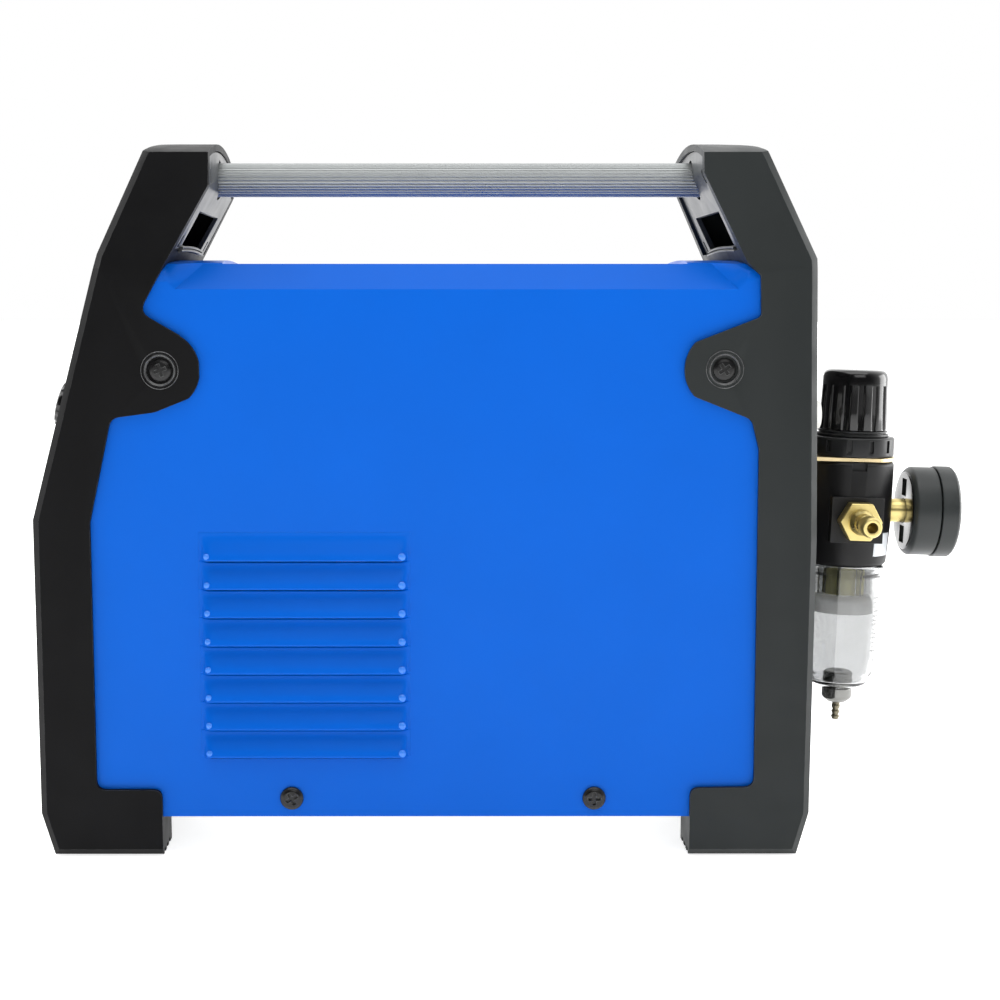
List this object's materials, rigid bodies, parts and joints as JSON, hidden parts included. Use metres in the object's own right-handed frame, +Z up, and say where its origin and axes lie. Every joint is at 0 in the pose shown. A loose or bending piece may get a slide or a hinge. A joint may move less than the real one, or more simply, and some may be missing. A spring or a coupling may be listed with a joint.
{
  "type": "plasma cutter unit",
  "caption": "Portable inverter plasma cutting machine in a blue steel case with black end frames, a carrying bar, a current control and a rear air filter regulator with gauge.",
  "frame": {"origin": "centre of the bounding box at floor level", "axes": "+X along the machine from the control end to the regulator end, +Z up; the side with the air inlet nipple faces -Y"},
  "size_m": [0.422, 0.1198, 0.316],
  "materials": {
    "black_plastic": "fine textured moulded plastic",
    "grey_black_plastic": "fine textured moulded plastic, a little lighter than the front",
    "gloss_black": "glossy moulded plastic",
    "blue_paint": "satin powder coat on sheet steel",
    "handle_aluminium": "extruded, fine lengthwise ribs",
    "plated_steel": "zinc plated",
    "black_steel": "blackened",
    "panel_black": "satin black paint",
    "zinc_yellow": "yellow passivated zinc",
    "brass": "turned brass",
    "fan_black": "black fan plastic",
    "gland_grey": "light nylon",
    "clear_bowl": "clear polycarbonate",
    "clear_lens": "clear polycarbonate",
    "baffle_white": "translucent white nylon",
    "dial_white": "white printed dial",
    "sintered_bronze": "porous sintered bronze",
    "lamp_green": "tinted lens",
    "lamp_amber": "tinted lens",
    "lamp_red": "tinted lens",
    "button_red": "glossy red cap",
    "circuit_board": "glass fibre board with parts",
    "winding": "ferrite core with a copper winding",
    "chrome_fitting": "polished plating"
  },
  "bodies": {
    "cabinet": {"front_bezel": "black_plastic", "rear_bezel": "grey_black_plastic", "front_handle_insert": "grey_black_plastic", "rear_handle_insert": "grey_black_plastic", "handle_bar": "handle_aluminium", "front_handle_bolt": "black_steel", "rear_handle_bolt": "black_steel", "top_cover": "blue_paint", "base_tray": "plated_steel", "front_panel": "panel_black", "rear_panel": "panel_black", "front_bezel_screw_right": "black_steel", "rear_bezel_screw_right": "black_steel", "cover_screw_front_right": "black_steel", "cover_screw_rear_right": "black_steel", "front_bezel_screw_left": "black_steel", "rear_bezel_screw_left": "black_steel", "cover_screw_front_left": "black_steel", "cover_screw_rear_left": "black_steel", "control_overlay": "gloss_black", "current_potentiometer": "plated_steel", "indicator_power": "lamp_green", "indicator_air": "lamp_amber", "indicator_overheat": "lamp_red", "torch_socket": "brass", "earth_socket": "fan_black", "earth_contact": "brass", "trigger_socket": "plated_steel", "power_switch_frame": "gloss_black", "cable_gland": "gland_grey", "fan_frame": "fan_black", "fan_grille": "plated_steel", "regulator_bracket": "zinc_yellow", "bracket_screw_left": "plated_steel", "bracket_screw_right": "plated_steel", "regulator_body": "black_plastic", "regulator_bonnet": "black_plastic", "regulator_lock_ring": "black_plastic", "filter_element": "sintered_bronze", "filter_baffle": "baffle_white", "filter_bowl": "clear_bowl", "drain_valve": "chrome_fitting", "air_inlet_nipple": "brass", "air_outlet_elbow": "brass", "gauge_stem": "brass", "gauge_case": "gloss_black", "gauge_cover": "gloss_black", "gauge_lens": "clear_lens", "gauge_dial": "dial_white", "main_board": "circuit_board", "heat_sink": "handle_aluminium", "transformer": "winding", "solenoid_valve": "plated_steel"},
    "knob": {"current_knob": "gloss_black"},
    "button": {"mode_button": "button_red"},
    "rocker": {"power_rocker": "gloss_black"},
    "rotor": {"fan_rotor": "fan_black"},
    "pressure_knob": {"regulator_knob": "gloss_black"},
    "needle": {"gauge_needle": "gloss_black"},
    "drain_pin": {"drain_nipple": "brass"}
  },
  "joints": [
    {"name": "current_knob_turn", "type": "hinge", "parent": "cabinet", "child": "knob", "pos_m": [-0.18688, -0.018, 0.19631], "axis": [-0.9662, 0, 0.258], "range_deg": [-140, 140]},
    {"name": "mode_button_press", "type": "slide", "parent": "cabinet", "child": "button", "axis": [0.9662, 0, -0.258], "range_m": [0, 0.0025], "stiffness_N_per_m": 400},
    {"name": "power_rocker_tilt", "type": "hinge", "parent": "cabinet", "child": "rocker", "pos_m": [0.1317, -0.02, 0.2315], "axis": [0, 1, 0], "range_deg": [-22, 0]},
    {"name": "fan_spin", "type": "hinge", "parent": "cabinet", "child": "rotor", "pos_m": [0.1147, 0, 0.086], "axis": [1, 0, 0], "continuous": true},
    {"name": "pressure_knob_turn", "type": "hinge", "parent": "cabinet", "child": "pressure_knob", "pos_m": [0.16386, 0, 0.19299], "axis": [0.0279, 0, 0.9996], "range_deg": [-720, 720]},
    {"name": "gauge_needle_turn", "type": "hinge", "parent": "cabinet", "child": "needle", "pos_m": [0.20263, 0, 0.14829], "axis": [-0.9996, 0, 0.0279], "range_deg": [0, 270], "stiffness_Nm_per_rad": 0.00002},
    {"name": "drain_push", "type": "slide", "parent": "cabinet", "child": "drain_pin", "axis": [0.0279, 0, 0.9996], "range_m": [0, 0.0025], "stiffness_N_per_m": 250}
  ]
}
